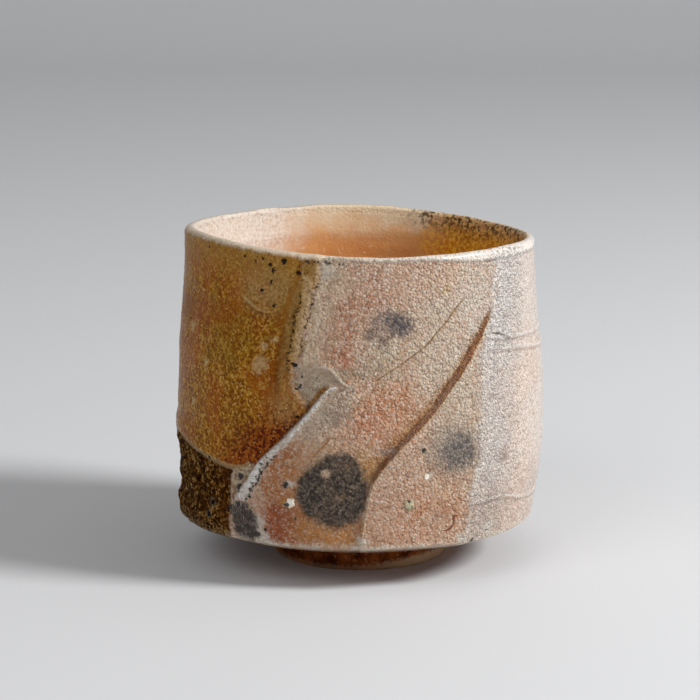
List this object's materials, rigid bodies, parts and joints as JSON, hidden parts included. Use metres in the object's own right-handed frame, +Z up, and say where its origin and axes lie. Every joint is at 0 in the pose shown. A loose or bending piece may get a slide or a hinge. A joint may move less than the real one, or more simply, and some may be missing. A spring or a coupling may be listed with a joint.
{
  "type": "yunomi tea cup",
  "caption": "Handleless wood-fired tea cup with a flattened front, a slanting cut, a thin lip and a trimmed foot ring.",
  "frame": {"origin": "middle of the foot ring's lower face, where the cup's axis meets the table", "axes": "+Z up along the cup's axis; -Y towards the flattened front face with the slanting cut; +X to the right seen from the front"},
  "size_m": [0.0864, 0.0831, 0.0783],
  "materials": {
    "clay_body": "fine orange-peel salt glaze over sandy clay, flashed salmon, cream and grey",
    "bare_clay": "unglazed toasted stoneware with trimming lines",
    "liner_glaze": "satin cream liner glaze, toasted orange low down",
    "ash_glaze": "glossy olive-amber natural ash glaze with beige flecks",
    "kiln_crust": "rough dark charred ash crust",
    "stone": "pale fused feldspar stones in the clay"
  },
  "bodies": {
    "root": {"cup_wall": "clay_body", "cup_floor": "bare_clay", "foot_ring": "bare_clay", "liner_glaze": "liner_glaze", "ash_glaze": "ash_glaze", "kiln_crust": "kiln_crust", "stone_chips": "stone"}
  },
  "joints": []
}
